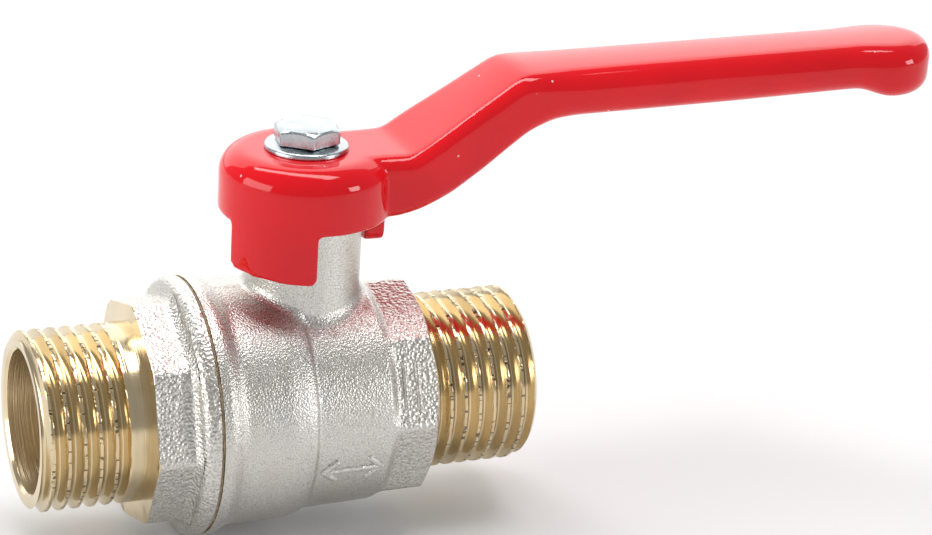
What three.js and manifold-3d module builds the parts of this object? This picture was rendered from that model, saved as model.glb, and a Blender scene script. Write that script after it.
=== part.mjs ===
// A half-inch ball valve with two male pipe threads and a quarter-turn lever, drawn open.
// Millimetres. X runs along the pipe, the screwed-in end adapter at -X and the body's own end at +X.
// Z runs up the stem. The origin is the ball's centre, where the pipe axis meets the stem axis.
import * as THREE from "three";
import { mergeVertices } from "three/addons/utils/BufferGeometryUtils.js";
import Module from "manifold-3d";

const wasm = await Module();
wasm.setup();

// ---- Driving dimensions ----

const FIT_GAP = 0.3; // left between pieces that touch
const RUNNING_GAP = 0.06; // round pieces that turn in each other, and the stack under the bolt
const PAST = 1; // how far a cutting or joining shape runs past the face it meets

const FACE_SIDES = 40; // facets round a pipe-sized piece
const SMALL_SIDES = 24; // facets round a stem-sized piece

// G 1/2 pipe thread, 14 turns to the inch
const THREAD_R = 20.955 / 2;
const THREAD_PITCH = 25.4 / 14;
const THREAD_DEPTH = 1.162;
const CREST_FLAT = 0.5;
const END_CHAMFER = 0.65;

// Places along the pipe
const INLET_X = -33.2;
const ADAPTER_HEX_X = -20.7; // left face of the adapter's octagon
const FLANGE_X = -15.8;
const SEAM_X = -13.8; // where the adapter's flange meets the body
const COLLAR_END_X = -11.6;
const STEP_X = -2.6; // the barrel drops to its smaller size
const BODY_HEX_X = 7.4;
const BODY_HEX_END_X = 13.4;
const BORE_STEP_X = 14.4; // the outlet's bore narrows to the seat's bore here
const OUTLET_X = 26.7;

// Radii about the pipe axis
const END_BORE_R = 8.33;
const FLANGE_R = 15.15;
const BARREL_R = 14.4;
const BARREL_SMALL_R = 13.55;
const CAVITY_R = 11.9;
const ADAPTER_FLATS = 25.1; // across the flats
const BODY_FLATS = 24.8;
const ADAPTER_TURN = 17.5; // degrees, where the adapter happened to stop when screwed home
const BODY_TURN = 22.5; // degrees, a corner of the octagon lies on the forging's parting plane
const OCTAGON_CHAMFER = 1.2;
const RELIEF = 0.25; // how far the flow arrow stands out
const FLANGE_EDGE = 0.9; // the flange's rounded rim, drawn as a chamfer

// Ball and seats
const BALL_R = 11.5;
const BALL_BORE_R = 7.4;
const SEAT_FACE_GAP = 0.08;
const SEAT_R = 10.3;
const SEAT_BORE_R = 7.6;
const SEAT_NEAR_X = 7.2; // the seat's edge towards the ball
const SEAT_FAR_X = 10.9;
const SPIGOT_R = 12.6; // the adapter's threaded spigot inside the body
const SLOT_WIDTH = 3.8;
const SLOT_FLOOR_Z = 9.3;

// Neck and stem
const NECK_R = 6.77;
const NECK_TOP_Z = 26.4;
const STEM_R = 4;
const STEM_SHOULDER_R = 5.4;
const STEM_SHOULDER_Z = 11.9;
const STEM_SHOULDER_TOP_Z = 13.5;
const STEM_TOP_Z = 30;
const STEM_SQUARE = 5.5;
const TANG_HEIGHT = 2.3;
const O_RING_CORD_R = 0.62;
const O_RING_HEIGHTS = { lower: 17.4, upper: 20.4 };
const THRUST_WASHER_HEIGHT = 0.9;

// Handle
const HUB_R = 10;
const HUB_INSIDE_R = 7.6;
const HUB_BOTTOM_Z = 23.2;
const HUB_CEILING_Z = 27.2;
const HUB_TOP_Z = 30.65;
const HUB_ROUND = 2.8;
const APRON_BOTTOM_Z = 17.5;
const APRON_END_DEG = 260;
const TAB_BOTTOM_Z = 18.5;
const TAB_START_DEG = -4;
const STOP_HALF_WIDTH = 2.2; // the body's stop rib, behind the neck
const STOP_OUT_Y = 9.7;
const STOP_TOP_Z = 21.8;
const ARM_END_X = 80.7;
const ARM_SLOPE_DEG = 32.7;
const GRIP_START_X = 25.5;
const GRIP_TOP_Z = 39.2; // at GRIP_START_X
const GRIP_RISE = 0.8; // over the grip's length
const GRIP_THICK = 5.8;
const GRIP_HALF_WIDTH = 5.6;
const BULB_X = 71; // where the tip's bulb starts
const BULB_DROP = 0.9;
const BULB_EASE = 2;
const BULB_HALF_WIDTH = 6.1;
const ARM_ROOT_HALF_WIDTH = 6.5;
const ROOT_SINK = 0.1; // the arm starts this far under the hub's top
const CRANK_EASE = 1.5; // how far along X the bends of the crank are eased
const UNDER_BEND = [15, 24.2]; // the arm's underside bends out of the hub towards this X and Z
const UNDER_RISE = [18.5, 27.2]; // and rises with the crank from here
const UNDER_CRANK_DROP = 1.8; // how far below the grip the underside's upper bend starts
const UNDER_CRANK_EASE = 6; // how far along the grip that bend ends

// Handle fastening
const BOLT_FLATS = 7;
const BOLT_TURN = 22; // degrees, where the bolt happened to stop when tightened
const BOLT_HEAD_HEIGHT = 2;
const BOLT_CHAMFER = 0.4;
const BOLT_THREAD_R = 2;
const BOLT_LENGTH = 7.5;
const BOLT_HOLE_R = 2.15;
const WASHER_R = 4.9;
const WASHER_BORE_R = 2.2;
const WASHER_RIM = 0.45;
const WASHER_DISH = 0.35;

// ---- Materials ----

const finish = (color, metalness, roughness) => ({ color, metalness, roughness });
const PLATED = finish(0xb9b6ae, 1, 0.45);
const BRASS = finish(0xc7a566, 1, 0.35);
const CHROMED = finish(0xd7dadd, 1, 0.12);
const ENAMEL = finish(0xd3101c, 0, 0.15);
const ZINC = finish(0xbfc6cb, 1, 0.3);
const PTFE = finish(0xf1efe8, 0, 0.5);
const NITRILE = finish(0x1c1c1d, 0, 0.7);
const SEALANT = finish(0xa07a3a, 0, 0.6);

// ---- Solids ----

function solid(geometry) {
  const bare = geometry.clone();
  bare.deleteAttribute("normal");
  bare.deleteAttribute("uv");
  const merged = mergeVertices(bare, 1e-4);
  return new wasm.Manifold(
    new wasm.Mesh({
      numProp: 3,
      vertProperties: new Float32Array(merged.attributes.position.array),
      triVerts: new Uint32Array(merged.index.array),
    }),
  );
}

function node(name, shape, surface) {
  const mesh = shape.getMesh();
  const geometry = new THREE.BufferGeometry();
  geometry.setAttribute("position", new THREE.BufferAttribute(mesh.vertProperties, 3));
  geometry.setIndex(new THREE.BufferAttribute(mesh.triVerts, 1));
  geometry.computeVertexNormals();
  const made = new THREE.Mesh(geometry, new THREE.MeshStandardMaterial(surface));
  made.name = name;
  return made;
}

const union = (first, ...rest) => rest.reduce((all, each) => all.add(each), first);
const cut = (first, ...rest) => rest.reduce((left, each) => left.subtract(each), first);

// A profile of [radius, height] turned about Z, listed upwards along the outside.
function turnedZ(profile, sides = SMALL_SIDES) {
  const points = profile.map(([r, z]) => new THREE.Vector2(r, z));
  return solid(new THREE.LatheGeometry(points, sides).rotateX(Math.PI / 2));
}

// A profile of [x, radius] turned about X, listed from -X to +X along the outside and back inside.
function turnedX(profile, sides = FACE_SIDES) {
  const points = profile.map(([x, r]) => new THREE.Vector2(r, x));
  return solid(new THREE.LatheGeometry(points, sides).rotateZ(-Math.PI / 2));
}

function rodX(x0, x1, r, sides = FACE_SIDES) {
  const rod = new THREE.CylinderGeometry(r, r, x1 - x0, sides).rotateZ(-Math.PI / 2);
  return solid(rod.translate((x0 + x1) / 2, 0, 0));
}

function rodZ(z0, z1, r, sides = SMALL_SIDES) {
  const rod = new THREE.CylinderGeometry(r, r, z1 - z0, sides).rotateX(Math.PI / 2);
  return solid(rod.translate(0, 0, (z0 + z1) / 2));
}

function block([x0, y0, z0], [x1, y1, z1]) {
  const box = new THREE.BoxGeometry(x1 - x0, y1 - y0, z1 - z0);
  return solid(box.translate((x0 + x1) / 2, (y0 + y1) / 2, (z0 + z1) / 2));
}

function extrudedZ(shape, z0, z1, curveSegments = 12) {
  const options = { depth: z1 - z0, bevelEnabled: false, curveSegments };
  return solid(new THREE.ExtrudeGeometry(shape, options).translate(0, 0, z0));
}

// A shape drawn in X and Z, given its thickness along Y.
function extrudedY(shape, halfWidth, curveSegments = 8) {
  const options = { depth: 2 * halfWidth, bevelEnabled: false, curveSegments };
  return solid(new THREE.ExtrudeGeometry(shape, options).rotateX(Math.PI / 2).translate(0, halfWidth, 0));
}

// A regular prism of six or eight sides along Z, with a flat facing +X before it is turned.
function prismZ(flats, count, z0, z1) {
  const cornerR = flats / 2 / Math.cos(Math.PI / count);
  const prism = new THREE.CylinderGeometry(cornerR, cornerR, z1 - z0, count, 1);
  prism.rotateX(Math.PI / 2).rotateZ(Math.PI / 2 + Math.PI / count).translate(0, 0, (z0 + z1) / 2);
  return solid(prism);
}

// An octagon along X between two faces, each face's corners turned off to a round edge.
function octagonX(flats, turnDeg, x0, x1, chamferLeft, chamferRight) {
  const turn = THREE.MathUtils.degToRad(turnDeg);
  const cornerR = flats / 2 / Math.cos(Math.PI / 8);
  const prism = new THREE.CylinderGeometry(cornerR, cornerR, x1 - x0, 8, 1).rotateZ(-Math.PI / 2);
  prism.rotateX(Math.PI / 8 - turn).translate((x0 + x1) / 2, 0, 0);
  const slope = Math.tan(Math.PI / 6);
  const envelope = turnedX([
    [x0, 0],
    [x0, cornerR - chamferLeft],
    [x0 + chamferLeft * slope, cornerR + 0.01],
    [x1 - chamferRight * slope, cornerR + 0.01],
    [x1, cornerR - chamferRight],
    [x1, 0],
  ]);
  return solid(prism).intersect(envelope);
}

// The outside of a male pipe thread that runs from its end face towards its shank, as [x, radius]
// points. The ridges are parallel rings with the real pitch, depth and diameter.
function threadProfile(endX, shankX) {
  const towardsShank = Math.sign(shankX - endX);
  const rootR = THREAD_R - THREAD_DEPTH;
  const flank = (THREAD_PITCH - 2 * CREST_FLAT) / 2;
  const ridges = Math.floor((Math.abs(shankX - endX) - THREAD_PITCH) / THREAD_PITCH);
  const points = [[endX, THREAD_R - END_CHAMFER]];
  for (let i = 0; i < ridges; i++) {
    const crestX = endX + towardsShank * (END_CHAMFER + i * THREAD_PITCH);
    points.push([crestX, THREAD_R]);
    points.push([crestX + towardsShank * CREST_FLAT, THREAD_R]);
    points.push([crestX + towardsShank * (CREST_FLAT + flank), rootR]);
    points.push([crestX + towardsShank * (2 * CREST_FLAT + flank), rootR]);
  }
  const lastX = endX + towardsShank * (END_CHAMFER + ridges * THREAD_PITCH);
  points.push([lastX, THREAD_R]);
  points.push([shankX, THREAD_R]);
  return points;
}

// ---- Body: one forging with the stem's neck, the outlet thread and the stop for the handle ----

function bodyOutside() {
  const outline = [
    [SEAM_X + FIT_GAP, 0],
    [SEAM_X + FIT_GAP, FLANGE_R],
    [COLLAR_END_X - FLANGE_EDGE, FLANGE_R],
    [COLLAR_END_X, BARREL_R],
    [STEP_X, BARREL_R],
    [STEP_X + 1, BARREL_SMALL_R],
    [BODY_HEX_X, BARREL_SMALL_R],
    [BODY_HEX_X, 0],
  ];
  const octagon = octagonX(BODY_FLATS, BODY_TURN, BODY_HEX_X - PAST / 2, BODY_HEX_END_X, 0, OCTAGON_CHAMFER);
  const thread = threadProfile(OUTLET_X, BODY_HEX_END_X - PAST).reverse();
  const threaded = turnedX([[BODY_HEX_END_X - PAST, 0], ...thread, [OUTLET_X, 0]]);
  return union(turnedX(outline), octagon, threaded);
}

function neckAndStop() {
  const stopFoot = BARREL_R / 2;
  const stop = block([-STOP_HALF_WIDTH, NECK_R / 2, stopFoot], [STOP_HALF_WIDTH, STOP_OUT_Y, STOP_TOP_Z]);
  return rodZ(BARREL_R / 2, NECK_TOP_Z, NECK_R, FACE_SIDES).add(stop);
}

function bodyInside() {
  const cavity = turnedX([
    [SEAM_X - PAST, 0],
    [SEAM_X - PAST, SPIGOT_R + FIT_GAP],
    [-SEAT_NEAR_X + FIT_GAP, SPIGOT_R + FIT_GAP],
    [-SEAT_NEAR_X + FIT_GAP, CAVITY_R],
    [SEAT_NEAR_X - FIT_GAP, CAVITY_R],
    [SEAT_NEAR_X - FIT_GAP, SEAT_R + FIT_GAP / 2],
    [SEAT_FAR_X + FIT_GAP / 2, SEAT_R + FIT_GAP / 2],
    [SEAT_FAR_X + FIT_GAP / 2, SEAT_BORE_R],
    [BORE_STEP_X, SEAT_BORE_R],
    [BORE_STEP_X + END_BORE_R - SEAT_BORE_R, END_BORE_R],
    [OUTLET_X + PAST, END_BORE_R],
    [OUTLET_X + PAST, 0],
  ]);
  const shoulderRoom = STEM_SHOULDER_TOP_Z + THRUST_WASHER_HEIGHT + FIT_GAP;
  const counterbore = rodZ(BALL_R / 2, shoulderRoom, STEM_SHOULDER_R + FIT_GAP / 2);
  const stemBore = rodZ(BALL_R / 2, NECK_TOP_Z + PAST, STEM_R + RUNNING_GAP);
  return union(cavity, counterbore, stemBore);
}

// A plain double-headed arrow on the underside of the barrel says that flow may run either way.
function flowArrow() {
  const length = 9;
  const head = 2.6;
  const shaft = 0.45; // half the shaft's width
  const middleX = 2;
  const lean = THREE.MathUtils.degToRad(20); // below the horizontal
  const arrow = new THREE.Shape();
  arrow.moveTo(-length / 2, 0);
  arrow.lineTo(-length / 2 + head, -head / 2);
  arrow.lineTo(-length / 2 + head, -shaft);
  arrow.lineTo(length / 2 - head, -shaft);
  arrow.lineTo(length / 2 - head, -head / 2);
  arrow.lineTo(length / 2, 0);
  arrow.lineTo(length / 2 - head, head / 2);
  arrow.lineTo(length / 2 - head, shaft);
  arrow.lineTo(-length / 2 + head, shaft);
  arrow.lineTo(-length / 2 + head, head / 2);
  const depth = 2;
  const relief = new THREE.ExtrudeGeometry(arrow, { depth, bevelEnabled: false });
  relief.translate(middleX, 0, BARREL_SMALL_R + RELIEF - depth).rotateX(Math.PI / 2 + lean);
  return solid(relief);
}

const body = cut(union(bodyOutside(), neckAndStop(), flowArrow()), bodyInside());

// ---- End adapter: threaded end, octagon, flange and the spigot that screws into the body ----

function adapterShape() {
  const outside = turnedX([
    [INLET_X, 0],
    ...threadProfile(INLET_X, ADAPTER_HEX_X + PAST),
    [FLANGE_X - PAST / 2, THREAD_R],
    [FLANGE_X - PAST / 2, FLANGE_R - FLANGE_EDGE],
    [FLANGE_X, FLANGE_R],
    [SEAM_X, FLANGE_R],
    [SEAM_X, SPIGOT_R],
    [-SEAT_NEAR_X, SPIGOT_R],
    [-SEAT_NEAR_X, 0],
  ]);
  const hexEndX = FLANGE_X + PAST / 2;
  const octagon = octagonX(ADAPTER_FLATS, ADAPTER_TURN, ADAPTER_HEX_X, hexEndX, OCTAGON_CHAMFER / 2, 0);
  const inside = turnedX([
    [INLET_X - PAST, 0],
    [INLET_X - PAST, END_BORE_R],
    [ADAPTER_HEX_X, END_BORE_R],
    [ADAPTER_HEX_X + END_BORE_R - SEAT_BORE_R, SEAT_BORE_R],
    [-SEAT_FAR_X - FIT_GAP / 2, SEAT_BORE_R],
    [-SEAT_FAR_X - FIT_GAP / 2, SEAT_R + FIT_GAP / 2],
    [-SEAT_NEAR_X + PAST, SEAT_R + FIT_GAP / 2],
    [-SEAT_NEAR_X + PAST, 0],
  ]);
  return cut(union(outside, octagon), inside);
}

// The ring of sealant squeezed out at the seam, in the groove between flange and body.
function sealantRing() {
  const clearance = 0.03;
  const innerR = SPIGOT_R + FIT_GAP + 0.5;
  const outerR = FLANGE_R - 0.1;
  return turnedX([
    [SEAM_X + clearance, innerR],
    [SEAM_X + clearance, outerR],
    [SEAM_X + FIT_GAP - clearance, outerR],
    [SEAM_X + FIT_GAP - clearance, innerR],
    [SEAM_X + clearance, innerR],
  ]);
}

// ---- Ball and its two seats ----

function ballShape() {
  const sphere = solid(new THREE.SphereGeometry(BALL_R, FACE_SIDES, FACE_SIDES / 2).rotateX(Math.PI / 2));
  const bore = rodX(-BALL_R - PAST, BALL_R + PAST, BALL_BORE_R, SMALL_SIDES);
  const slot = block([-SLOT_WIDTH / 2, -BALL_R, SLOT_FLOOR_Z], [SLOT_WIDTH / 2, BALL_R, BALL_R + PAST]);
  return cut(sphere, bore, slot);
}

// A seat ring: its inner corner is hollowed to the ball's radius. side is -1 for the inlet.
function seatShape(side) {
  const contactR = BALL_R + SEAT_FACE_GAP;
  const edgeAngle = Math.acos(SEAT_NEAR_X / contactR);
  const boreAngle = Math.asin(SEAT_BORE_R / contactR);
  const steps = 6;
  const hollow = [];
  for (let i = 0; i <= steps; i++) {
    const angle = THREE.MathUtils.lerp(edgeAngle, boreAngle, i / steps);
    hollow.push([contactR * Math.cos(angle), contactR * Math.sin(angle)]);
  }
  const back = [[SEAT_FAR_X, SEAT_BORE_R], [SEAT_FAR_X, SEAT_R], [SEAT_NEAR_X, SEAT_R]];
  const profile = [...hollow, ...back, hollow[0]];
  const ordered = side > 0 ? [...profile].reverse() : profile.map(([x, r]) => [-x, r]);
  return turnedX(ordered);
}

// ---- Stem and its seals ----

function stemShape() {
  const groove = O_RING_CORD_R + 0.25;
  const outline = [
    [0, STEM_SHOULDER_Z],
    [STEM_SHOULDER_R, STEM_SHOULDER_Z],
    [STEM_SHOULDER_R, STEM_SHOULDER_TOP_Z],
    [STEM_R, STEM_SHOULDER_TOP_Z],
  ];
  for (const height of Object.values(O_RING_HEIGHTS)) {
    outline.push([STEM_R, height - groove]);
    outline.push([STEM_R - 2 * O_RING_CORD_R, height - groove]);
    outline.push([STEM_R - 2 * O_RING_CORD_R, height + groove]);
    outline.push([STEM_R, height + groove]);
  }
  outline.push([STEM_R, NECK_TOP_Z]);
  outline.push([0, NECK_TOP_Z]);
  const tangHalf = SLOT_WIDTH / 2 - FIT_GAP / 2;
  const tangReach = STEM_SHOULDER_R - 0.4;
  const tang = block(
    [-tangHalf, -tangReach, STEM_SHOULDER_Z - TANG_HEIGHT],
    [tangHalf, tangReach, STEM_SHOULDER_Z + PAST / 2],
  );
  const square = block(
    [-STEM_SQUARE / 2, -STEM_SQUARE / 2, NECK_TOP_Z - PAST / 2],
    [STEM_SQUARE / 2, STEM_SQUARE / 2, STEM_TOP_Z],
  );
  const holeDepth = BOLT_LENGTH - 0.5;
  const hole = rodZ(STEM_TOP_Z - holeDepth, STEM_TOP_Z + PAST, BOLT_HOLE_R, SMALL_SIDES / 2);
  return cut(union(turnedZ(outline), tang, square), hole);
}

function oRing(height) {
  const ringR = STEM_R + RUNNING_GAP / 3 - O_RING_CORD_R;
  return solid(new THREE.TorusGeometry(ringR, O_RING_CORD_R, 8, SMALL_SIDES).translate(0, 0, height));
}

function ringZ(innerR, outerR, z0, z1) {
  return turnedZ([
    [innerR, z0],
    [outerR, z0],
    [outerR, z1],
    [innerR, z1],
    [innerR, z0],
  ]);
}

// ---- Handle: a hub over the neck, two stop tabs under it and a cranked arm ----

// A wall of the hub's thickness between two angles, from z0 up into the hub's skirt.
function hubWall(startDeg, endDeg, z0) {
  const start = THREE.MathUtils.degToRad(startDeg);
  const end = THREE.MathUtils.degToRad(endDeg);
  const wall = new THREE.Shape();
  wall.absarc(0, 0, HUB_R, start, end, false);
  wall.absarc(0, 0, HUB_INSIDE_R, end, start, true);
  return extrudedZ(wall, z0, HUB_BOTTOM_Z + PAST, FACE_SIDES / 2);
}

// The apron's leading face meets the stop when the valve is shut, the rear tab's when it is open,
// so each face lies in a plane one gap away from the stop's side.
function stopWalls() {
  const reach = STOP_HALF_WIDTH + FIT_GAP;
  const slackDeg = 10;
  const apronStart = 180 + THREE.MathUtils.radToDeg(Math.asin(reach / HUB_R)) - slackDeg;
  const apron = hubWall(apronStart, APRON_END_DEG, APRON_BOTTOM_Z);
  const behindApron = block([-HUB_R - PAST, -reach, 0], [0, HUB_R, HUB_BOTTOM_Z]);
  const tabEnd = THREE.MathUtils.radToDeg(Math.acos(reach / HUB_R)) + slackDeg;
  const tab = hubWall(TAB_START_DEG, tabEnd, TAB_BOTTOM_Z);
  const besideTab = block([-HUB_R, 0, 0], [reach, HUB_R + PAST, HUB_BOTTOM_Z]);
  return union(cut(apron, behindApron), cut(tab, besideTab));
}

// The arm seen from the side: out of the hub, up the slope, along the grip to the rounded tip.
function armSide() {
  const slope = Math.tan(THREE.MathUtils.degToRad(ARM_SLOPE_DEG));
  const footX = GRIP_START_X - (GRIP_TOP_Z - HUB_TOP_Z) / slope;
  const tipTopZ = GRIP_TOP_Z + GRIP_RISE;
  const gripBottomZ = GRIP_TOP_Z - GRIP_THICK;
  const bulbBottomZ = tipTopZ - GRIP_THICK - BULB_DROP;
  const tipMidZ = (tipTopZ + bulbBottomZ) / 2;
  const tipR = (tipTopZ - bulbBottomZ) / 2;
  const side = new THREE.Shape();
  side.moveTo(0, HUB_BOTTOM_Z);
  side.lineTo(HUB_R, HUB_BOTTOM_Z);
  side.quadraticCurveTo(...UNDER_BEND, ...UNDER_RISE);
  side.lineTo(GRIP_START_X, gripBottomZ - UNDER_CRANK_DROP);
  side.quadraticCurveTo(GRIP_START_X + CRANK_EASE, gripBottomZ, GRIP_START_X + UNDER_CRANK_EASE, gripBottomZ);
  side.lineTo(BULB_X, bulbBottomZ + BULB_DROP);
  side.quadraticCurveTo(BULB_X + BULB_EASE, bulbBottomZ, BULB_X + 2 * BULB_EASE, bulbBottomZ);
  side.lineTo(ARM_END_X - tipR, bulbBottomZ);
  side.absarc(ARM_END_X - tipR, tipMidZ, tipR, -Math.PI / 2, Math.PI / 2, false);
  side.lineTo(GRIP_START_X + CRANK_EASE, GRIP_TOP_Z);
  const easedZ = GRIP_TOP_Z - CRANK_EASE * slope;
  side.quadraticCurveTo(GRIP_START_X, GRIP_TOP_Z, GRIP_START_X - CRANK_EASE, easedZ);
  side.lineTo(footX + CRANK_EASE, HUB_TOP_Z + CRANK_EASE * slope);
  side.quadraticCurveTo(footX, HUB_TOP_Z, footX - 2 * CRANK_EASE, HUB_TOP_Z - ROOT_SINK);
  side.lineTo(0, HUB_TOP_Z - ROOT_SINK);
  return side;
}

// The arm seen from above, narrowing out of the hub to the grip and widening again at the tip.
function armPlan() {
  const tipCentreX = ARM_END_X - BULB_HALF_WIDTH;
  const plan = new THREE.Shape();
  plan.moveTo(0, -ARM_ROOT_HALF_WIDTH);
  plan.lineTo(HUB_R, -ARM_ROOT_HALF_WIDTH);
  plan.quadraticCurveTo(UNDER_RISE[0], -ARM_ROOT_HALF_WIDTH, GRIP_START_X, -GRIP_HALF_WIDTH);
  plan.lineTo(BULB_X - BULB_EASE, -GRIP_HALF_WIDTH);
  plan.quadraticCurveTo(BULB_X, -GRIP_HALF_WIDTH, tipCentreX, -BULB_HALF_WIDTH);
  plan.absarc(tipCentreX, 0, BULB_HALF_WIDTH, -Math.PI / 2, Math.PI / 2, false);
  plan.quadraticCurveTo(BULB_X, GRIP_HALF_WIDTH, BULB_X - BULB_EASE, GRIP_HALF_WIDTH);
  plan.lineTo(GRIP_START_X, GRIP_HALF_WIDTH);
  plan.quadraticCurveTo(UNDER_RISE[0], ARM_ROOT_HALF_WIDTH, HUB_R, ARM_ROOT_HALF_WIDTH);
  plan.lineTo(0, ARM_ROOT_HALF_WIDTH);
  return plan;
}

function handleShape() {
  const roundSteps = 4;
  const hubProfile = [
    [0, HUB_BOTTOM_Z],
    [HUB_R, HUB_BOTTOM_Z],
  ];
  for (let i = 0; i <= roundSteps; i++) {
    const angle = (Math.PI / 2) * (i / roundSteps);
    const r = HUB_R - HUB_ROUND + HUB_ROUND * Math.cos(angle);
    hubProfile.push([r, HUB_TOP_Z - HUB_ROUND + HUB_ROUND * Math.sin(angle)]);
  }
  hubProfile.push([0, HUB_TOP_Z]);
  const planPrism = extrudedZ(armPlan(), HUB_BOTTOM_Z - PAST, GRIP_TOP_Z + GRIP_RISE + PAST);
  const arm = extrudedY(armSide(), HUB_R).intersect(planPrism);
  const pocket = rodZ(HUB_BOTTOM_Z - PAST, HUB_CEILING_Z, HUB_INSIDE_R, FACE_SIDES);
  const half = STEM_SQUARE / 2 + FIT_GAP / 2;
  const socket = block([-half, -half, HUB_CEILING_Z - PAST], [half, half, HUB_TOP_Z + PAST]);
  return cut(union(turnedZ(hubProfile, FACE_SIDES), arm, stopWalls()), pocket, socket);
}

// ---- Bolt and dished washer on top of the handle ----

const WASHER_Z = HUB_TOP_Z + RUNNING_GAP;
const BOLT_HEAD_Z = WASHER_Z + WASHER_RIM + WASHER_DISH + RUNNING_GAP;

function washerShape() {
  const seatR = BOLT_FLATS / 2;
  return turnedZ([
    [WASHER_BORE_R, WASHER_Z + WASHER_DISH],
    [WASHER_R, WASHER_Z],
    [WASHER_R, WASHER_Z + WASHER_RIM],
    [seatR, WASHER_Z + WASHER_RIM + WASHER_DISH],
    [WASHER_BORE_R, WASHER_Z + WASHER_RIM + WASHER_DISH],
    [WASHER_BORE_R, WASHER_Z + WASHER_DISH],
  ]);
}

function boltShape() {
  const cornerR = BOLT_FLATS / 2 / Math.cos(Math.PI / 6);
  const topZ = BOLT_HEAD_Z + BOLT_HEAD_HEIGHT;
  const rounding = turnedZ([
    [0, BOLT_HEAD_Z],
    [cornerR + 0.1, BOLT_HEAD_Z],
    [cornerR + 0.1, topZ - BOLT_CHAMFER],
    [BOLT_FLATS / 2 - BOLT_CHAMFER / 2, topZ],
    [0, topZ],
  ]);
  const hexagon = prismZ(BOLT_FLATS, 6, BOLT_HEAD_Z, topZ).rotate([0, 0, BOLT_TURN - 30]);
  const head = hexagon.intersect(rounding);
  const shank = rodZ(BOLT_HEAD_Z - BOLT_LENGTH, BOLT_HEAD_Z + PAST, BOLT_THREAD_R, SMALL_SIDES / 2);
  return head.add(shank);
}

// ---- Assembly ----

const pressureShell = new THREE.Group();
pressureShell.name = "pressure_shell";
pressureShell.add(node("valve_body", body, PLATED));
pressureShell.add(node("end_adapter", adapterShape(), BRASS));
pressureShell.add(node("joint_sealant", sealantRing(), SEALANT));
pressureShell.add(node("seat_inlet", seatShape(-1), PTFE));
pressureShell.add(node("seat_outlet", seatShape(1), PTFE));

const ball = new THREE.Group();
ball.name = "turning_ball";
ball.add(node("ball", ballShape(), CHROMED));

const thrustZ = STEM_SHOULDER_TOP_Z + FIT_GAP / 3;
const turning = new THREE.Group();
turning.name = "turning_handle";
turning.add(node("stem", stemShape(), BRASS));
turning.add(
  node(
    "stem_thrust_washer",
    ringZ(STEM_R + RUNNING_GAP, STEM_SHOULDER_R, thrustZ, thrustZ + THRUST_WASHER_HEIGHT),
    PTFE,
  ),
);
for (const [place, height] of Object.entries(O_RING_HEIGHTS)) {
  turning.add(node("stem_o_ring_" + place, oRing(height), NITRILE));
}
turning.add(node("handle", handleShape(), ENAMEL));
turning.add(node("handle_washer", washerShape(), ZINC));
turning.add(node("handle_bolt", boltShape(), ZINC));

const valve = new THREE.Group();
valve.name = "ball_valve";
valve.add(pressureShell, ball, turning);

export default valve;
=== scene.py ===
"""A half-inch ball valve with male threads and a red lever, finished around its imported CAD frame."""

import math
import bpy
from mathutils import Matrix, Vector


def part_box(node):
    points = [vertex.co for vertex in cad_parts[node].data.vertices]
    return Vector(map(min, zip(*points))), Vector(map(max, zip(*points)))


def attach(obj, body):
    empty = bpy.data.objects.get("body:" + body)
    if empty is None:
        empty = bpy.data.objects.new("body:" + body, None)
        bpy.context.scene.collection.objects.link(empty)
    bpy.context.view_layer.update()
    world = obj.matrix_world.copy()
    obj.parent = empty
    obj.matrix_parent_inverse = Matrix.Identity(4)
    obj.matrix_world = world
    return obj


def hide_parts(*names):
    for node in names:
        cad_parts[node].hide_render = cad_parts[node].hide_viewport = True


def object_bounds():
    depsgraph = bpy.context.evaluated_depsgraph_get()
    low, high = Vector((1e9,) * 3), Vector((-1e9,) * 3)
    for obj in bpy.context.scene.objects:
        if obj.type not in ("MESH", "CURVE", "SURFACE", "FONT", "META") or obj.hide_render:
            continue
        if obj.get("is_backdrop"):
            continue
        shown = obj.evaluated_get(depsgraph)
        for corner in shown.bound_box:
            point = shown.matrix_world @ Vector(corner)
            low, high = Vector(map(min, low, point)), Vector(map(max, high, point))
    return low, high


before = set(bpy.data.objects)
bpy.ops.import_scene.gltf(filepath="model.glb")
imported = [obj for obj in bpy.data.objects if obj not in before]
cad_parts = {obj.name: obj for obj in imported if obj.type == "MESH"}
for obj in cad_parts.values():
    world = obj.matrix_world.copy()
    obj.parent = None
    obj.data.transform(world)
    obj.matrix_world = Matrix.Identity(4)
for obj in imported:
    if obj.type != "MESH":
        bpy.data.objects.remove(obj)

from types import SimpleNamespace

import bmesh
import bpy
import numpy as np
from bpy.props import FloatProperty, FloatVectorProperty, PointerProperty
from mathutils import Matrix, Quaternion, Vector

bl_info = {
    "name": "Ball Valve",
    "version": (1, 0, 0),
    "blender": (4, 5, 0),
    "location": "View3D > Sidebar > Ball Valve",
    "description": "Makes the pieces, finishes and studio of a half-inch ball valve",
    "category": "Object",
}

CAD_LOW, CAD_HIGH = (tuple(corner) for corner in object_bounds())
MM = 0.001
TOP = math.pi / 2  # the angle about the pipe at which the stem stands, counted from +Y towards +Z
QUARTER = math.pi / 2
ROUND = 240  # points round each ring of the body and the adapter

# Sizes out of sight, in millimetres, shared by the body, the adapter, the ball and its seats
BALL, BALL_BORE, BALL_EDGE = 11.5, 7.4, 0.3
SEAT_BORE, SEAT_RIM, SEAT_NEAR, SEAT_FAR = 7.6, 10.3, 7.2, 10.9
POCKET, POCKET_END = 10.45, 11.05
BALL_ROOM, BALL_ROOM_END = 11.9, 6.9
RECESS, SPIGOT, SPIGOT_END = 12.9, 12.6, -7.2
STEM_BORE = 4.06
LIP = 0.35  # chamfer at the mouth of each bore
SUNK = 0.02  # how deep a cast mark, the neck's foot or the washer sits in what is under it


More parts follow.
